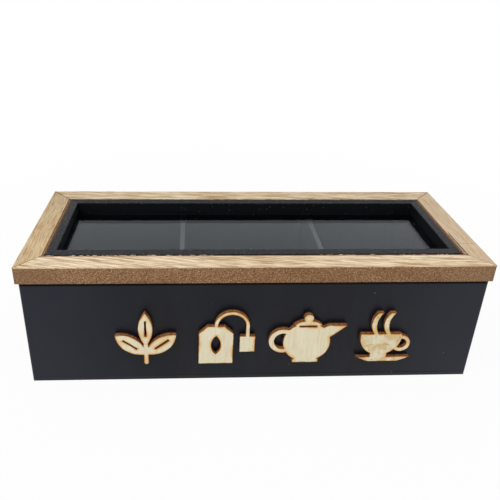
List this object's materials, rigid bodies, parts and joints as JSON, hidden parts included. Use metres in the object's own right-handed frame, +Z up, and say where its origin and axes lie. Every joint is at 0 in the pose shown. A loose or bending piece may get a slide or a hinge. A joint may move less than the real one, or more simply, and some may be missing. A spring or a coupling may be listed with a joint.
{
  "type": "tea bag organizer box",
  "caption": "Long black wooden tea bag box with divided bays, a hinged oak-framed glass lid and small plywood tea motifs glued to the front.",
  "frame": {"origin": "on the table under the middle of the box body, at the base board's lower face", "axes": "+Z up; the front with the plywood motifs faces -Y and the hinges are at +Y; +X to the right seen from the front, along the box"},
  "size_m": [0.24, 0.0954, 0.072],
  "materials": {
    "black_paint": "satin black paint over 3 mm fibreboard",
    "birch_plywood": "bare laser-cut birch plywood, edges scorched brown",
    "hinge_brass": "brass-plated, slightly dulled",
    "raw_mdf": "bare fibreboard, speckled brown",
    "oak_veneer": "sanded oak veneer, unlacquered, grain along each rail",
    "black_bead": "satin black paint",
    "glass": "clear float glass, 2 mm"
  },
  "bodies": {
    "box": {"base_board": "black_paint", "front_wall": "black_paint", "back_wall": "black_paint", "left_wall": "black_paint", "right_wall": "black_paint", "left_divider": "black_paint", "right_divider": "black_paint", "tea_shoot_cutout": "birch_plywood", "tea_bag_cutout": "birch_plywood", "teapot_cutout": "birch_plywood", "teacup_cutout": "birch_plywood", "left_hinge_wall_leaf": "hinge_brass", "right_hinge_wall_leaf": "hinge_brass", "left_hinge_pin": "hinge_brass", "right_hinge_pin": "hinge_brass", "wall_screws": "hinge_brass"},
    "lid": {"front_rail": "raw_mdf", "back_rail": "raw_mdf", "left_rail": "raw_mdf", "right_rail": "raw_mdf", "front_veneer": "oak_veneer", "back_veneer": "oak_veneer", "left_veneer": "oak_veneer", "right_veneer": "oak_veneer", "front_bead": "black_bead", "back_bead": "black_bead", "left_bead": "black_bead", "right_bead": "black_bead", "glass_pane": "glass", "left_hinge_lid_leaf": "hinge_brass", "right_hinge_lid_leaf": "hinge_brass", "lid_screws": "hinge_brass"}
  },
  "joints": [
    {"name": "lid_hinge", "type": "hinge", "parent": "box", "child": "lid", "pos_m": [0, 0.04635, 0.0625], "axis": [-1, 0, 0], "range_deg": [0, 180]}
  ]
}
